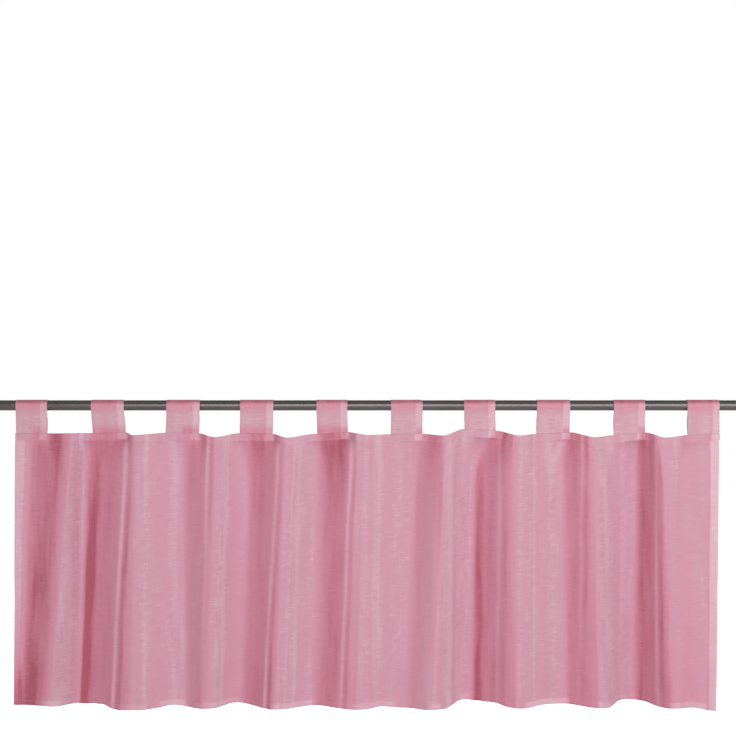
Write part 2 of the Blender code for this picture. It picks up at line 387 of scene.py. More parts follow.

# Painted highlights: narrow pale lines on the sharp ledges where they catch the light, painted light on two
# broad faces that open flat low down, and last the painted pale patch beside the eighth tab's foot, which
# the minus at the hem ends soon below the heading
LedgeHighlight = namedtuple("LedgeHighlight", "top_x hem_x reach top_paleness hem_paleness")
LEDGE_HIGHLIGHTS = [
    LedgeHighlight(-465.5, -494.0, 6.5, 0.3, 0.35),
    LedgeHighlight(-309.5, -322.0, 5.0, 0.5, 0.05),
    LedgeHighlight(-330.0, -345.0, 26.0, 0.0, 0.34),
    LedgeHighlight(-171.5, -201.0, 5.5, 0.4, 0.4),
    LedgeHighlight(-30.3, -53.0, 5.0, 0.45, 0.25),
    LedgeHighlight(125.0, 104.0, 30.0, 0.0, 0.5),
    LedgeHighlight(163.0, 157.0, 7.0, 0.2, 0.75),
    LedgeHighlight(257.0, 250.0, 5.5, 0.4, 0.4),
    LedgeHighlight(416.0, 409.0, 5.0, 0.25, 0.05),
    LedgeHighlight(556.5, 563.0, 4.0, 0.5, 0.55),
    LedgeHighlight(384.0, 200.0, 9.0, 1.0, -6.0),
]

# How far the hem sags below its level, and the stretches where the doubled hem is painted paler, as painted
# light where it faces the light
Sag = namedtuple("Sag", "x drop")
SAGS = [
    Sag(-682.0, 3.0), Sag(-630.0, 2.6), Sag(-589.0, 5.2), Sag(-554.0, 5.8), Sag(-531.0, 2.0),
    Sag(-513.0, 0.0), Sag(-490.0, 5.2), Sag(-455.0, 2.8), Sag(-426.0, 3.9), Sag(-403.0, 2.5),
    Sag(-385.0, -0.4), Sag(-345.0, 4.4), Sag(-310.0, 2.4), Sag(-286.0, 3.5), Sag(-263.0, 1.0),
    Sag(-228.0, 3.0), Sag(-193.0, 3.8), Sag(-178.0, 2.8), Sag(-141.0, 4.0), Sag(-83.0, 1.9),
    Sag(-48.0, 2.6), Sag(-7.0, 2.8), Sag(24.0, 0.0), Sag(70.0, 5.0), Sag(98.0, 4.4), Sag(132.0, 2.4),
    Sag(156.0, 5.4), Sag(179.0, 0.2), Sag(208.0, 2.7), Sag(226.0, 1.0), Sag(249.0, -2.0),
    Sag(272.0, 1.4), Sag(305.0, 3.2), Sag(342.0, 0.4), Sag(383.0, 2.8), Sag(447.0, 3.2),
    Sag(470.0, 6.6), Sag(493.0, -0.2), Sag(524.0, 3.6), Sag(546.0, 2.3), Sag(563.0, 4.6),
    Sag(598.0, 3.3), Sag(629.0, -0.2), Sag(662.0, 4.0),
]
HemLight = namedtuple("HemLight", "left right paleness")
HEM_LIGHTS = [
    HemLight(-634.0, -597.0, 0.95), HemLight(-482.0, -425.0, 0.5), HemLight(-403.0, -352.0, 0.8),
    HemLight(-333.0, -251.0, 0.6), HemLight(-186.0, -108.0, 0.8), HemLight(-30.0, 53.0, 0.6),
    HemLight(115.0, 142.0, 0.9), HemLight(178.0, 200.0, 0.5), HemLight(305.0, 395.0, 0.9),
    HemLight(445.0, 474.0, 0.7), HemLight(583.0, 652.0, 0.95),
]
HEM_LIGHT_FADE = 5.0

# How the cloth hangs: round folds, which the tabs press flat at the top hem and which open below it
FOLD_ROUNDNESS = 0.85
HEM_LEVEL = -581.0
SEAM_PLANE = -1.75
TAB_HOLD_MARGIN = 2.0
TAB_HOLD_FADE = 15.0
HEADING_FREE = 0.75
HEADING_OPENS = 14.0
Ripple = namedtuple("Ripple", "width waves seed height")
RIPPLES = [
    Ripple(27.0, 2.6, 3.1, 0.7),
    Ripple(10.0, 5.0, 9.7, 0.25),
]
RIPPLE_REACH = 1.5

# Rows from the edge of a hem inwards: distance, and thickness as a share of the doubled hem's. The stitch
# rows are pressed in a little.
Row = namedtuple("Row", "distance thickness")
HEM_CLOTH = 1.2
SINGLE = 0.42
STITCHED = 0.72
TOP_ROWS = [
    Row(0.0, 0.7), Row(0.8, 0.92), Row(2.4, 1.0), Row(4.0, 1.0), Row(6.5, 1.0), Row(9.5, 1.0),
    Row(11.4, 1.0), Row(12.4, STITCHED), Row(13.3, 0.95), Row(14.0, 0.9), Row(14.9, SINGLE),
]
BOTTOM_ROWS = [
    Row(0.0, 0.85), Row(0.9, 1.0), Row(3.5, 1.0), Row(6.5, 1.0), Row(8.2, 1.0), Row(9.2, STITCHED),
    Row(10.1, 0.95), Row(10.7, 0.9), Row(11.6, SINGLE),
]
SIDE_COLUMNS = [
    Row(0.0, 0.85), Row(0.9, 1.0), Row(4.0, 1.0), Row(8.0, 1.0), Row(12.0, 1.0), Row(15.4, 1.0),
    Row(16.4, STITCHED), Row(17.3, 0.95), Row(18.0, 0.9),
]
SIDE_HEM_WIDTH = 18.0
TOP_STITCH_ROW = 7
BOTTOM_STITCH_ROW = 5
SIDE_STITCH_COLUMN = 6

# How much paler the cloth looks where it lies double, and the seam allowance of a tab that shows through
# the top hem. Painted shade takes the left hem's paleness away low down, where it turns from the light.
LEFT_PALE = 0.75
LEFT_HEM_SHADE_FROM = 0.55
LEFT_HEM_SHADE_FADE = 0.35
RIGHT_PALE = 1.15
TOP_PALE = 0.12
BOTTOM_PALE = 0.08
BAND_PALE = 1.0
TAB_BAND = 15.0
TAB_SHOWS = 12.8
LEDGE_STARTS = 6.0

# Painted shade: the cloth's colour is made deeper by the slope of its folds where they rise to the right
# and turn from the light, more so near the heading and less behind the tabs, with more painted shade at
# the very edge of the bottom hem, low down and at the lower left corner, and a darker line along the right
# hem's turn
SLOPE_LIT = -0.1
SLOPE_SHADED = 0.4
SLOPE_BEYOND = 0.25
TURN_SPAN = 2
HEADING_PAINTED_SHADE = 0.6
HEADING_SHADE_FADE = 40.0
SHADE_OPENS = 4.0
TAB_LETS_SHADE = 0.9
TAB_COVERS = 0.1
HEM_LINE_TINT = 0.5
HEM_LINE_REACH = 1.6
HEM_EDGE_PAINTED_SHADE = 0.2
LOW_PAINTED_SHADE = 0.07
LOW_SHADE_FROM = 0.78
LOW_SHADE_FADE = 0.15
CORNER_PAINTED_SHADE = 0.65
CORNER_X = -668.0
CORNER_FADE = 10.0


def ease(t):
    """A step from 0 to 1 with level ends."""
    t = min(1.0, max(0.0, t))
    return t * t * (3.0 - 2.0 * t)


def mix(a, b, t):
    """The value a share of the way from one to another."""
    return a + (b - a) * t


def top_edge_drop(x):
    """Drop of the panel's top edge below the rod's axis, level at each tab's sides and at each dip."""
    knots = []
    for tab in TABS:
        knots.append((tab.seam_x - tab.width / 2, tab.drop_left))
        knots.append((tab.seam_x + tab.width / 2, tab.drop_right))
    knots += [(dip.x, dip.drop) for dip in DIPS]
    knots.sort()
    if x <= knots[0][0]:
        return knots[0][1]
    for (x0, drop0), (x1, drop1) in zip(knots, knots[1:]):
        if x <= x1:
            return mix(drop0, drop1, ease((x - x0) / (x1 - x0)))
    return knots[-1][1]


def freedom(x):
    """0 where a tab holds the top hem flat, 1 clear of the tabs."""
    gap = min(abs(x - tab.seam_x) - tab.width / 2 for tab in TABS)
    return ease((gap - TAB_HOLD_MARGIN) / TAB_HOLD_FADE)


def line_x(line, down, drop):
    """Where a line lies at a share of the way down, a drop in mm below the top edge. The tabs pull it
    aside near the heading."""
    return mix(line.top_x, line.hem_x, down) + line.pull * max(0.0, 1.0 - drop / PULL_FADE) ** 2


def hem_sag(x):
    """How far the hem sags below its level."""
    for left, right in zip(SAGS, SAGS[1:]):
        if x <= right.x:
            return mix(left.drop, right.drop, ease((x - left.x) / (right.x - left.x)))
    return SAGS[-1].drop


def crease_rise(x, down):
    """How far the creases stand out of the main folds, and how steeply they rise to the right."""
    rise = 0.0
    slope = 0.0
    for crease in CREASES:
        offset = x - mix(crease.top_x, crease.hem_x, down)
        if abs(offset) > max(crease.left, crease.right) + CREASE_WANDER:
            continue
        wander = noise.noise(Vector((crease.top_x, down * CREASE_WANDER_WAVES, CREASE_WANDER_SEED)))
        offset += CREASE_WANDER * wander
        reach = crease.left if offset < 0.0 else crease.right
        t = offset / reach
        if -1.0 < t < 1.0:
            swell = noise.noise(Vector((crease.top_x, down * CREASE_SWELL_WAVES, CREASE_SWELL_SEED)))
            height = mix(crease.top_rise, crease.hem_rise, down) * (1.0 + CREASE_SWELL * swell)
            rise += height * (1.0 - t * t) ** 2
            slope -= height * 4.0 * t * (1.0 - t * t) / reach
    return rise, slope


def ledge_highlight(x, down):
    """How much paler the painted highlights on the ledges make the cloth."""
    paleness = 0.0
    for ledge in LEDGE_HIGHLIGHTS:
        t = (x - mix(ledge.top_x, ledge.hem_x, down)) / ledge.reach
        if -1.0 < t < 1.0:
            paleness += max(0.0, mix(ledge.top_paleness, ledge.hem_paleness, down)) * (1.0 - t * t)
    return paleness


def layer_shade_tint(x, down):
    """Painted shade and deeper voile in front of its own folds, or with a minus painted light."""
    tint = 0.0
    for layer_shade in LAYER_SHADES:
        offset = x - mix(layer_shade.top_x, layer_shade.hem_x, down)
        t = offset / (layer_shade.left if offset < 0.0 else layer_shade.right)
        if -1.0 < t < 1.0:
            tint += mix(layer_shade.top_tint, layer_shade.hem_tint, min(1.0, down * LAYER_SHADE_SPREAD)) * (1.0 - t * t) ** 2
    return tint


def lit_hem_paleness(x):
    """How much paler the doubled bottom hem is made: a little all along, and more with painted light on
    stretches.
    """
    shown = BOTTOM_PALE
    for lit_stretch in HEM_LIGHTS:
        inside = min(x - lit_stretch.left, lit_stretch.right - x)
        shown = max(shown, lit_stretch.paleness * ease(inside / HEM_LIGHT_FADE + 0.5))
    return shown


def ripple(x, down):
    """Small unevenness of hanging voile, long down the cloth and short across it."""
    return sum(
        wave.height * noise.noise(Vector((x / wave.width, down * wave.waves, wave.seed))) for wave in RIPPLES
    )


def softened(slope):
    """The slope of a main fold as painted shade: past two limits each further degree tells less."""
    if slope < SLOPE_LIT:
        return SLOPE_LIT + (slope - SLOPE_LIT) * SLOPE_BEYOND
    if slope > SLOPE_SHADED:
        return SLOPE_SHADED + (slope - SLOPE_SHADED) * SLOPE_BEYOND
    return slope


# Columns from the left edge to the right one: the lines on both sides, the share of the way between them,
# and how thick the cloth is there
COLUMN_STEP = 2.5
columns = [(LINES[0], LINES[1], row.distance / SIDE_HEM_WIDTH, row.thickness) for row in SIDE_COLUMNS]
for line, following in zip(LINES[1:-2], LINES[2:-1]):
    run = (following.top_x - line.top_x + following.hem_x - line.hem_x) / 2
    fall = (following.top_out - line.top_out + following.hem_out - line.hem_out) / 2
    steps = max(2, round(math.hypot(run, fall) / COLUMN_STEP))
    columns += [(line, following, (step + 0.5) / steps, SINGLE) for step in range(steps)]
columns += [
    (LINES[-2], LINES[-1], 1.0 - row.distance / SIDE_HEM_WIDTH, row.thickness)
    for row in reversed(SIDE_COLUMNS)
]

# Rows from the top edge to the hem: where the distance is measured from, how far, and thickness
UPPER_STEP = 4.0
LOWER_STEP = 15.0
OPENING = 90.0
USUAL_TOP_DROP = 56.0
rows = [("top", row.distance, row.thickness) for row in TOP_ROWS]
distance = TOP_ROWS[-1].distance + UPPER_STEP
while distance < OPENING:
    rows.append(("top", distance, SINGLE))
    distance += UPPER_STEP
body_rows = round((-HEM_LEVEL - USUAL_TOP_DROP - OPENING) / LOWER_STEP)
rows += [("between", (step + 0.5) / body_rows, SINGLE) for step in range(body_rows)]
rows += [("hem", row.distance, row.thickness) for row in reversed(BOTTOM_ROWS)]

# Each point of the cloth in its place, with its thickness, its paleness with painted highlights, and what
# its painted shade depends on
Spot = namedtuple("Spot", "fold x opened tint near_heading")
points = []
spots = []
paleness_and_highlights = []
thicknesses = []
for kind, distance, row_thickness in rows:
    row_points = []
    for left, right, share, column_thickness in columns:
        top = -top_edge_drop(mix(line_x(left, 0.0, 0.0), line_x(right, 0.0, 0.0), share))
        sag = hem_sag(mix(left.hem_x, right.hem_x, share))
        hem = HEM_LEVEL + mix(left.lift, right.lift, ease(share)) - sag
        if kind == "top":
            height = top - distance
        elif kind == "hem":
            height = hem + distance
        else:
            height = mix(top - OPENING, hem + BOTTOM_ROWS[-1].distance, distance)
        down = (top - height) / (top - hem)
        x = mix(line_x(left, down, top - height), line_x(right, down, top - height), share)

        bend = mix(share, ease(share), FOLD_ROUNDNESS)
        top_out = mix(left.top_out, right.top_out, bend)
        hem_out = mix(left.hem_out, right.hem_out, bend)
        fold = mix(top_out, hem_out, ease(down))
        rise, crease_slope = crease_rise(x, down)
        out = fold + rise + ripple(x, down)
        below = max(0.0, top - TOP_ROWS[-2].distance - height)
        released = 1.0 - math.exp(-below / HEADING_OPENS)
        held = mix(HEADING_FREE * freedom(x) if out > 0.0 else 0.0, 1.0, released)
        row_points.append(Vector((x, SEAM_PLANE - out * held, height)) * MM)
        pressed = STITCHED in (row_thickness, column_thickness)
        thicknesses.append(STITCHED if pressed else max(row_thickness, column_thickness))

        paleness = 0.0
        # Low on the left hem, painted shade takes its paleness away
        if column_thickness != SINGLE:
            left_unshaded = 1.0 - ease((down - LEFT_HEM_SHADE_FROM) / LEFT_HEM_SHADE_FADE)
            paleness = LEFT_PALE * left_unshaded if x < 0.0 else RIGHT_PALE
        if row_thickness != SINGLE:
            paleness = max(paleness, TOP_PALE if kind == "top" else lit_hem_paleness(x))
        covered = 0.0
        if kind == "top" and distance < TAB_SHOWS:
            for tab in TABS:
                offset = x - tab.seam_x
                if abs(offset) < tab.width / 2:
                    covered = TAB_COVERS
                    paleness = BAND_PALE if offset > tab.width / 2 - TAB_BAND else 0.0
        paleness_and_highlights.append(max(paleness, ledge_highlight(x, down) * ease(below / LEDGE_STARTS)))

        # Painted shade opens below the heading and is lighter behind the tabs. The tint adds painted shade
        # from the slopes of creases and ripples, the painted shade and light of the fold tints, low down, at
        # the lower left corner and at the bottom hem's edge, and a darker line at the right hem's turn.
        let_through = max(TAB_LETS_SHADE, freedom(x))
        opened = mix(let_through, 1.0, 1.0 - math.exp(-below / SHADE_OPENS)) * (1.0 - covered)
        ripple_slope = (ripple(x + RIPPLE_REACH, down) - ripple(x - RIPPLE_REACH, down)) / (2 * RIPPLE_REACH)
        low_shade = LOW_PAINTED_SHADE + CORNER_PAINTED_SHADE * ease((CORNER_X - x) / CORNER_FADE)
        low_share = ease((down - LOW_SHADE_FROM) / LOW_SHADE_FADE)
        tint = crease_slope + ripple_slope + layer_shade_tint(x, down) + low_shade * low_share
        if abs(x - line_x(LINES[-2], down, top - height)) < HEM_LINE_REACH:
            tint += HEM_LINE_TINT
        if kind == "hem" and distance < BOTTOM_ROWS[2].distance:
            tint += HEM_EDGE_PAINTED_SHADE
        spots.append(Spot(fold, x, opened, tint * opened, math.exp(-below / HEADING_SHADE_FADE)))
    points.append(row_points)

# Painted shade at each point, from the slope of its fold over a few columns
width = len(columns)
painted_shade_values = []
for index, spot in enumerate(spots):
    column = index % width
    before = spots[index - min(column, TURN_SPAN)]
    after = spots[index + min(width - 1 - column, TURN_SPAN)]
    painted_shade = softened((after.fold - before.fold) / (after.x - before.x))
    if painted_shade > 0.0:
        painted_shade *= 1.0 + HEADING_PAINTED_SHADE * spot.near_heading
    painted_shade_values.append(painted_shade * spot.opened + spot.tint)

# Cloth coordinates in metres, measured along the cloth
middle_row = points[len(points) // 2]
across = [0.0]
for a, b in zip(middle_row, middle_row[1:]):
    across.append(across[-1] + (b - a).length)
middle_column = [row_points[width // 2] for row_points in points]
along = [0.0]
for a, b in zip(middle_column, middle_column[1:]):
    along.append(along[-1] + abs(a.z - b.z))


def add_cloth(name, grid, across, along, values, thickness, weights):
    """A sheet from a grid of points: its cloth coordinates, its values by point, its full thickness in mm
    and each point's share of it."""
    row_count = len(grid)
    column_count = len(grid[0])
    mesh = bpy.data.meshes.new(name)
    corners = [
        (row * column_count + column, (row + 1) * column_count + column,
         (row + 1) * column_count + column + 1, row * column_count + column + 1)
        for row in range(row_count - 1)
        for column in range(column_count - 1)
    ]
    mesh.from_pydata([point for row in grid for point in row], [], corners)
    layer = mesh.uv_layers.new(name="Cloth")
    for loop in mesh.loops:
        row, column = divmod(loop.vertex_index, column_count)
        layer.data[loop.index].uv = (across[column], -along[row])
    for value_name, numbers in values.items():
        attribute = mesh.attributes.new(value_name, "FLOAT", "POINT")
        attribute.data.foreach_set("value", numbers)
    mesh.shade_smooth()
    cloth = bpy.data.objects.new(name, mesh)
    bpy.context.scene.collection.objects.link(cloth)
    group = cloth.vertex_groups.new(name="thickness")
    for index, weight in enumerate(weights):
        group.add([index], weight, "REPLACE")
    solidify = cloth.modifiers.new("thickness", "SOLIDIFY")
    solidify.thickness = thickness * MM
    solidify.offset = 0.0
    solidify.vertex_group = group.name
    solidify.thickness_vertex_group = 0.0
    bpy.ops.object.select_all(action="DESELECT")
    bpy.context.view_layer.objects.active = cloth
    cloth.select_set(True)
    bpy.ops.object.modifier_apply(modifier=solidify.name)
    cloth.vertex_groups.clear()
    return cloth


# The panel carries its painted shade as one value by point, and under hem the paleness of its doubled hems
# together with the painted highlights.
panel = add_cloth(
    "panel_voile", points, across, along, {"painted_shade": painted_shade_values, "hem": paleness_and_highlights}, HEM_CLOTH, thicknesses
)

# The weave of voile: thin even threads with slubs, which show as short pale and dark dashes, most of them
# across the cloth and stronger in patches. Tone is 0.5 on plain cloth and Height is the relief.
Slub = namedtuple("Slub", "across_scale along_scale detail weight")
SLUBS = [
    Slub(40.0, 460.0, 2.0, 1.0),
    Slub(48.0, 150.0, 2.0, 0.4),
    Slub(500.0, 30.0, 2.0, 0.5),
    Slub(85.0, 1100.0, 1.0, 0.3),
]
SLUB_THICK = (0.57, 0.78)
SLUB_THIN = (0.43, 0.2)
SLUB_PATCHES = (38.0, 38.0, 38.0)
SLUB_PATCH_SHARES = (0.45, 1.0)
SLUB_PATCH_LIMITS = (0.35, 0.65)


def calculate(tree, operation, first, second):
    """Two outputs added or multiplied, each given as its node and its name or number."""
    node = add_node(tree, "Math", operation=operation)
    join(tree, *first, node, 0)
    join(tree, *second, node, 1)
    return node


voile_weave = bpy.data.node_groups.new("voile_weave", "ShaderNodeTree")
voile_weave.interface.new_socket("Vector", in_out="INPUT", socket_type="NodeSocketVector")
voile_weave.interface.new_socket("Tone", in_out="OUTPUT", socket_type="NodeSocketFloat")
voile_weave.interface.new_socket("Height", in_out="OUTPUT", socket_type="NodeSocketFloat")
weave_in = voile_weave.nodes.new("NodeGroupInput")
weave_out = voile_weave.nodes.new("NodeGroupOutput")
patches = add_noise(voile_weave, weave_in, "Vector", SLUB_PATCHES, 1.0, noise_dimensions="2D")
patch_share = remap(voile_weave, patches, "Fac", SLUB_PATCH_SHARES, SLUB_PATCH_LIMITS)
total = None
for slub in SLUBS:
    scale = (slub.across_scale, slub.along_scale, 1.0)
    dashes = add_noise(voile_weave, weave_in, "Vector", scale, slub.detail, noise_dimensions="2D")
    for limits, most in ((SLUB_THICK, slub.weight), (SLUB_THIN, -slub.weight)):
        threads = remap(voile_weave, dashes, "Fac", (0.0, most), limits, interpolation_type="SMOOTHSTEP")
        total = threads if total is None else calculate(voile_weave, "ADD", (total, 0), (threads, 0))
patched = calculate(voile_weave, "MULTIPLY", (total, 0), (patch_share, "Result"))
tone = remap(voile_weave, patched, "Value", (0.0, 1.0), (-1.0, 1.0))
join(voile_weave, tone, "Result", weave_out, "Tone")
join(voile_weave, tone, "Result", weave_out, "Height")

# The cloth's colour by how far it turns away to the left, as painted shade: paler where it faces the light,
# deeper where it turns from it. Slubs are paler and thin places deeper, less so where the cloth is already
# deep, and long faint streaks run down it. The paleness of hems and painted highlights shows less where the
# painted shade is deep.
VOILE_PAINTED_SHADE_TINTS = [
    (-0.5, (0.67, 0.392, 0.475)),
    (-0.15, (0.606, 0.303, 0.39)),
    (0.02, (0.618, 0.284, 0.376)),
    (0.24, (0.648, 0.267, 0.361)),
    (0.5, (0.643, 0.234, 0.326)),
    (0.75, (0.59, 0.179, 0.262)),
    (1.0, (0.455, 0.095, 0.155)),
]
SHADE_RANGE = (-0.5, 1.0)
SLUB_SHADE = 0.28
SLUB_SHARES = (1.0, 0.25)
SLUB_SHARE_LIMITS = (0.0, 0.6)
STREAK_SCALE = (58.0, 9.0, 1.0)
STREAK_LIMITS = (0.25, 0.75)
STREAK_SHADE = 0.13
VOILE_PALE = (0.74, 0.47, 0.545)
VOILE_PALE_SHARES = (1.0, 0.1)
VOILE_STRENGTH = (0.96, 1.04)
VOILE_ROUGHNESS = (0.66, 0.52)


def make_voile(name, shade_from, pale_from):
    """Voile from its cloth coordinates. shade_from and pale_from name the values by point that give it its
    painted shade and make it paler."""
    material = bpy.data.materials.new(name)
    material.use_nodes = True
    tree = material.node_tree
    surface = tree.nodes["Principled BSDF"]
    cloth_place = add_node(tree, "UVMap", uv_map="Cloth")
    weave = add_node(tree, "Group", node_tree=voile_weave)
    join(tree, cloth_place, "UV", weave, "Vector")

    shade_value = add_node(tree, "Attribute", attribute_name=shade_from)
    slub_shade = remap(tree, weave, "Tone", (SLUB_SHADE, -SLUB_SHADE))
    slub_share = remap(tree, shade_value, "Fac", SLUB_SHARES, SLUB_SHARE_LIMITS)
    slubs_here = calculate(tree, "MULTIPLY", (slub_shade, "Result"), (slub_share, "Result"))
    with_slubs = calculate(tree, "ADD", (shade_value, "Fac"), (slubs_here, "Value"))
    streak_noise = add_noise(tree, cloth_place, "UV", STREAK_SCALE, 3.0, noise_dimensions="2D")
    streaks = remap(tree, streak_noise, "Fac", (STREAK_SHADE, -STREAK_SHADE), STREAK_LIMITS)
    with_streaks = calculate(tree, "ADD", (with_slubs, "Value"), (streaks, "Result"))
    shade = remap(tree, with_streaks, "Value", (0.0, 1.0), SHADE_RANGE)

    body = add_node(tree, "ValToRGB")
    ramp = body.color_ramp
    ramp.elements[0].position = 0.0
    ramp.elements[0].color = (*VOILE_PAINTED_SHADE_TINTS[0][1], 1.0)
    ramp.elements[1].position = 1.0
    ramp.elements[1].color = (*VOILE_PAINTED_SHADE_TINTS[-1][1], 1.0)
    for painted_shade, tint in VOILE_PAINTED_SHADE_TINTS[1:-1]:
        place = (painted_shade - SHADE_RANGE[0]) / (SHADE_RANGE[1] - SHADE_RANGE[0])
        ramp.elements.new(place).color = (*tint, 1.0)
    join(tree, shade, "Result", body, "Fac")

    pale_value = add_node(tree, "Attribute", attribute_name=pale_from)
    pale_share = remap(tree, shade, "Result", VOILE_PALE_SHARES)
    pale_factor = calculate(tree, "MULTIPLY", (pale_value, "Fac"), (pale_share, "Result"))
    with_pale = add_node(tree, "Mix", data_type="RGBA")
    with_pale.inputs["B"].default_value = (*VOILE_PALE, 1.0)
    join(tree, pale_factor, "Value", with_pale, "Factor")
    join(tree, body, "Color", with_pale, "A")
    strength = remap(tree, weave, "Tone", VOILE_STRENGTH)
    dyed = add_node(tree, "HueSaturation")
    join(tree, with_pale, "Result", dyed, "Color")
    join(tree, strength, "Result", dyed, "Value")
    join(tree, dyed, "Color", surface, "Base Color")

    rough = remap(tree, weave, "Tone", VOILE_ROUGHNESS)
    join(tree, rough, "Result", surface, "Roughness")
    add_relief(tree, weave, "Height", surface, 0.35, 0.25 * MM)
    surface.inputs["Specular IOR Level"].default_value = 0.7
    surface.inputs["Sheen Weight"].default_value = 0.12
    surface.inputs["Sheen Roughness"].default_value = 0.45
    surface.inputs["Sheen Tint"].default_value = (1.0, 0.86, 0.9, 1.0)
    return material


panel_material = make_voile("panel_voile_cloth", "painted_shade", "hem")
panel.data.materials.append(panel_material)
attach(panel, "root")
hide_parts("panel")


# The panel's stitching: rows of small lockstitches in matching thread, which hold down the hems and sew the
# panel to the tabs. They show on both faces of the cloth.
STITCH_PITCH = 3.0 * MM
STITCH_LENGTH = 2.5 * MM
STITCH_WIDTH = 0.42 * MM
STITCH_HEIGHT = 0.3 * MM
StitchRing = namedtuple("StitchRing", "share size lift")
STITCH_RINGS = [StitchRing(0.0, 0.35, 0.1), StitchRing(0.5, 1.0, 0.5), StitchRing(1.0, 0.35, 0.1)]
STITCH_START = 0.1


def add_stitching(name, paths):
    """One mesh of stitches. Each path is a list of points and of the ways out of the cloth there. A stitch
    has three square rings, and its middle one stands highest."""
    corners = []
    faces = []
    for places, outs in paths:
        lengths = [0.0]
        for a, b in zip(places, places[1:]):
            lengths.append(lengths[-1] + (b - a).length)
        segment = 0
        for number in range(int(lengths[-1] / STITCH_PITCH)):
            start = (number + STITCH_START) * STITCH_PITCH
            centres = []
            ways_out = []
            for ring in STITCH_RINGS:
                reach = start + ring.share * STITCH_LENGTH
                while segment < len(lengths) - 2 and lengths[segment + 1] < reach:
                    segment += 1
                t = (reach - lengths[segment]) / max(1e-9, lengths[segment + 1] - lengths[segment])
                t = min(1.0, t)
                centres.append(places[segment].lerp(places[segment + 1], t))
                ways_out.append(outs[segment].lerp(outs[segment + 1], t).normalized())
            forward = (centres[-1] - centres[0]).normalized()
            first = len(corners)
            for ring, centre, out in zip(STITCH_RINGS, centres, ways_out):
                raised = centre + out * STITCH_HEIGHT * ring.lift
                half_width = forward.cross(out).normalized() * STITCH_WIDTH / 2 * ring.size
                half_height = out * STITCH_HEIGHT / 2 * ring.size
                corners += [
                    raised - half_width,
                    raised + half_height,
                    raised + half_width,
                    raised - half_height,
                ]
            for near in (first, first + 4):
                far = near + 4
                for corner in range(4):
                    following = (corner + 1) % 4
                    faces.append((near + corner, near + following, far + following, far + corner))
            faces.append((first + 3, first + 2, first + 1, first))
            faces.append((first + 8, first + 9, first + 10, first + 11))
    mesh = bpy.data.meshes.new(name)
    mesh.from_pydata(corners, [], faces)
    mesh.shade_smooth()
    stitching = bpy.data.objects.new(name, mesh)
    bpy.context.scene.collection.objects.link(stitching)
    return stitching


def face_path(line, thickness, side):
    """A line of points moved to one face of the cloth, with the way out of it. side is -1 on the front."""
    places = []
    outs = []
    for index, point in enumerate(line):
        before = line[max(0, index - 1)]
        after = line[min(len(line) - 1, index + 1)]
        run = after - before
        out = Vector((-run.y, run.x, 0.0)) if abs(run.x) > abs(run.z) else Vector((0.0, 1.0, 0.0))
        out = out.normalized() * side
        places.append(point + out * thickness / 2)
        outs.append(out)
    return places, outs


panel_lines = [
    points[TOP_STITCH_ROW],
    points[len(rows) - 1 - BOTTOM_STITCH_ROW],
    [row_points[SIDE_STITCH_COLUMN] for row_points in points],
    [row_points[width - 1 - SIDE_STITCH_COLUMN] for row_points in points],
]
stitched_cloth = HEM_CLOTH * STITCHED * MM
panel_stitching = add_stitching(
    "panel_stitching",
    [face_path(line, stitched_cloth, side) for line in panel_lines for side in (-1.0, 1.0)],
)

THREAD_DARK = (0.578, 0.306, 0.374)
THREAD_LIGHT = (0.748, 0.396, 0.484)
THREAD_ROUGHNESS = (0.45, 0.65)
THREAD_FIBRES = (900.0, 900.0, 900.0)
thread = bpy.data.materials.new("sewing_thread")
thread.use_nodes = True
tree = thread.node_tree
surface = tree.nodes["Principled BSDF"]
surface.inputs["Sheen Weight"].default_value = 0.2
place = add_node(tree, "TexCoord")
fibres = add_noise(tree, place, "Object", THREAD_FIBRES, 2.0)
tint = blend(tree, fibres, "Fac", THREAD_DARK, THREAD_LIGHT)
gloss = remap(tree, fibres, "Fac", THREAD_ROUGHNESS)
join(tree, tint, "Result", surface, "Base Color")
join(tree, gloss, "Result", surface, "Roughness")
add_relief(tree, fibres, "Fac", surface, 0.4, 0.05 * MM)
panel_stitching.data.materials.append(thread)
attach(panel_stitching, "root")


# The tabs: ten flat strips of doubled voile, turned right side out, pressed and stitched along both long
# edges. The seam allowance lies inside the right edge and shows as a paler band. Each goes over the rod.
TAB_CLOTH = 0.9
TAB_FOOT_Y = 0.75
TAB_SETBACK = 2.0
TAB_STRAIGHT = 2.0
TAB_TURN_STEPS = 28
TAB_LEG_STEPS = 16
TAB_FOOT_STEPS = 4
TAB_ROD_GAP = 0.15

# Across a tab, from the left edge and from the right one: distance, and thickness as a share of the full
# one, which it has over the seam allowance. Each tab is cut from its own place in the weave.
PRESSED = 0.75
TAB_CROSS = [
    Row(0.0, 0.8), Row(0.7, 0.95), Row(1.8, STITCHED), Row(2.9, 0.9), Row(6.0, 0.8), Row(11.0, PRESSED),
    Row(17.0, PRESSED), Row(23.0, PRESSED), Row(29.0, PRESSED), Row(35.0, PRESSED), Row(40.0, PRESSED),
]
TAB_BAND_CROSS = [
    Row(16.0, PRESSED), Row(15.0, 1.0), Row(11.0, 1.0), Row(7.0, 1.0), Row(2.9, 1.0), Row(1.8, STITCHED),
    Row(0.7, 0.95), Row(0.0, 0.8),
]
TAB_STITCH_COLUMN = 2
TAB_CUT_APART = 0.37

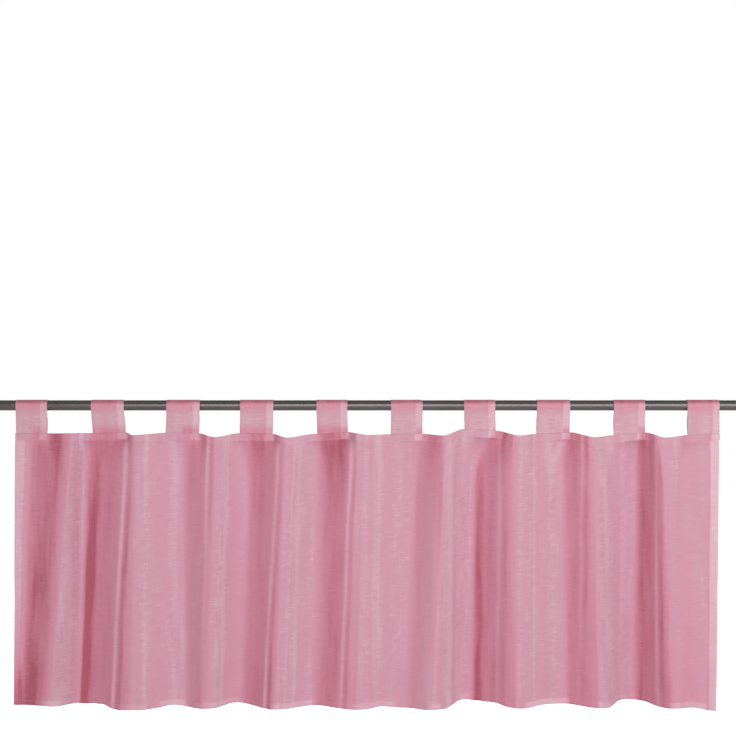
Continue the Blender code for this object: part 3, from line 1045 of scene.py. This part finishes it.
# The legs are a little narrower at their middle, and give a little. The back legs of the outer tabs lie
# nearer the rod's ends, hidden behind the front legs. Four front legs are dented.
WAIST = 0.006
TAB_SKEW = 0.0085
GIVE = 0.35
GIVE_WIDTH = 14.0
GIVE_HEIGHT = 16.0
Dent = namedtuple("Dent", "tab x z wide tall depth")
DENTS = [
    Dent(4, 8.0, -44.0, 16.0, 14.0, 1.5),
    Dent(5, -10.0, -46.0, 16.0, 12.0, 1.3),
    Dent(9, 6.0, -46.0, 14.0, 14.0, 1.4),
    Dent(2, -12.0, -44.0, 16.0, 13.0, 1.0),
]
DENT_SLACK = 3.0

# Painted light and shade on a tab: painted light makes its legs palest, painted shade makes it deeper near
# the rod and deepest over its crest, and the painted shade of the panel's steep folds reaches into its foot.
# Heights are from the rod's axis.
LEG_PAINTED_LIGHT = -0.2
LEG_PAINTED_PALENESS = 0.22
NEAR_ROD_PAINTED_SHADE = 0.55
NEAR_ROD_FROM = -22.0
NEAR_ROD_FADE = 24.0
CREST_PAINTED_SHADE = 0.45
CREST_FROM = 1.5
CREST_FADE = 4.5
FOOT_PAINTED_SHADE = 2.4
FOOT_SHADE_SLOPE_LIMIT = 0.36
FOOT_FROM = -34.0
FOOT_FADE = 14.0


def heading_slope(x):
    """How steeply the panel's main fold rises to the right, just below its heading."""
    for left, right in zip(LINES, LINES[1:]):
        left_x = left.top_x + left.pull
        right_x = right.top_x + right.pull
        if left_x <= x <= right_x:
            return (right.top_out - left.top_out) / (right_x - left_x)
    return 0.0


def dent_depth(number, offset, z):
    """How deep the front leg of a tab is dented."""
    depth = 0.0
    for dent in DENTS:
        near = ((offset - dent.x) / dent.wide) ** 2 + ((z - dent.z) / dent.tall) ** 2
        if dent.tab == number and near < 1.0:
            depth += dent.depth * (1.0 - near) ** 2
    return depth


tab_material = make_voile("tab_voile_cloth", "tab_painted_shade", "band_and_painted_leg_light")
tab_radius = ROD_RADIUS / MM + TAB_ROD_GAP + TAB_CLOTH / 2
for number, tab in enumerate(TABS, start=1):
    # The way of its cloth, up the front leg, over the rod and down the back: y, z, and how near it is to
    # the middle of a leg
    high = -min(tab.drop_left, tab.drop_right) + TAB_STRAIGHT
    low = high - TAB_STRAIGHT - TOP_ROWS[-2].distance + TAB_SETBACK
    contact = math.atan2(high, -TAB_FOOT_Y) - math.acos(tab_radius / math.hypot(TAB_FOOT_Y, high))
    start = contact % (2 * math.pi)
    sweep = 2 * (start - math.pi / 2)
    contact_y = tab_radius * math.cos(start)
    contact_z = tab_radius * math.sin(start)
    front = [(-TAB_FOOT_Y, mix(low, high, step / TAB_FOOT_STEPS), 0.0) for step in range(TAB_FOOT_STEPS)]
    for step in range(TAB_LEG_STEPS):
        share = step / TAB_LEG_STEPS
        slack = share * (1 - share) * 4
        front.append((mix(-TAB_FOOT_Y, contact_y, share), mix(high, contact_z, share), slack))
    arc = []
    for step in range(TAB_TURN_STEPS + 1):
        angle = start - sweep * step / TAB_TURN_STEPS
        arc.append((tab_radius * math.cos(angle), tab_radius * math.sin(angle), 0.0))
    back = [(-y, z, slack) for y, z, slack in reversed(front)]
    path = front + arc + back

    cross = [(row.distance, row.thickness) for row in TAB_CROSS]
    cross += [(tab.width - row.distance, row.thickness) for row in TAB_BAND_CROSS]
    grid = []
    tab_painted_shade = []
    band_and_painted_leg_light = []
    weights = []
    for y, z, slack in path:
        centre = mix(tab.rod_x, tab.seam_x, ease(z / low))
        skew = TAB_SKEW * tab.rod_x * ease(y / tab_radius) * ease(1.0 - z / low)
        is_front = y < 0.0
        near_rod = ease((z - NEAR_ROD_FROM) / NEAR_ROD_FADE)
        on_crest = ease((z - CREST_FROM) / CREST_FADE)
        at_foot = ease((FOOT_FROM - z) / FOOT_FADE)
        row_points = []
        for distance, thickness in cross:
            offset = (distance - tab.width / 2) * (1.0 - WAIST * slack)
            seed = number + (0.5 if is_front else 0.0)
            give = GIVE * slack * noise.noise(Vector((offset / GIVE_WIDTH, z / GIVE_HEIGHT, seed)))
            if is_front:
                give -= dent_depth(number, offset, z) * min(1.0, slack * DENT_SLACK)
            place_y = y - give if is_front else y + give
            row_points.append(Vector((centre + offset + skew, place_y, z)) * MM)
            # Painted shade near the rod, over the crest and at the foot from the panel's folds, and painted
            # light on the legs beside the paler seam allowance band
            foot_shade = FOOT_PAINTED_SHADE * min(FOOT_SHADE_SLOPE_LIMIT, max(0.0, heading_slope(centre + offset)))
            tab_painted_shade.append(NEAR_ROD_PAINTED_SHADE * near_rod + CREST_PAINTED_SHADE * on_crest + LEG_PAINTED_LIGHT + foot_shade * at_foot)
            band_and_painted_leg_light.append(BAND_PALE if distance > tab.width - TAB_BAND else LEG_PAINTED_PALENESS * (1.0 - near_rod))
            weights.append(thickness)
        grid.append(row_points)
    along_tab = [0.0]
    for a, b in zip(path, path[1:]):
        along_tab.append(along_tab[-1] + math.dist(a[:2], b[:2]) * MM)
    across_tab = [number * TAB_CUT_APART + distance * MM for distance, thickness in cross]
    strip = add_cloth(
        f"tab_cloth_{number:02d}", grid, across_tab, along_tab, {"tab_painted_shade": tab_painted_shade, "band_and_painted_leg_light": band_and_painted_leg_light},
        TAB_CLOTH, weights,
    )
    strip.data.materials.append(tab_material)
    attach(strip, "root")
    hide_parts(f"tab_{number:02d}")

    # Its two rows of stitches, on the outside of the loop
    paths = []
    for column in (TAB_STITCH_COLUMN, len(cross) - 1 - TAB_STITCH_COLUMN):
        line = [row_points[column] for row_points in grid]
        places = []
        outs = []
        for index, point in enumerate(line):
            run = line[min(len(line) - 1, index + 1)] - line[max(0, index - 1)]
            out = Vector((0.0, -run.z, run.y)).normalized()
            outward = Vector((0.0, point.y, max(point.z, -MM)))
            if out.dot(outward) < 0.0:
                out.negate()
            places.append(point + out * TAB_CLOTH * STITCHED / 2 * MM)
            outs.append(out)
        paths.append((places, outs))
    tab_stitching = add_stitching(f"tab_stitching_{number:02d}", paths)
    tab_stitching.data.materials.append(thread)
    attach(tab_stitching, "root")
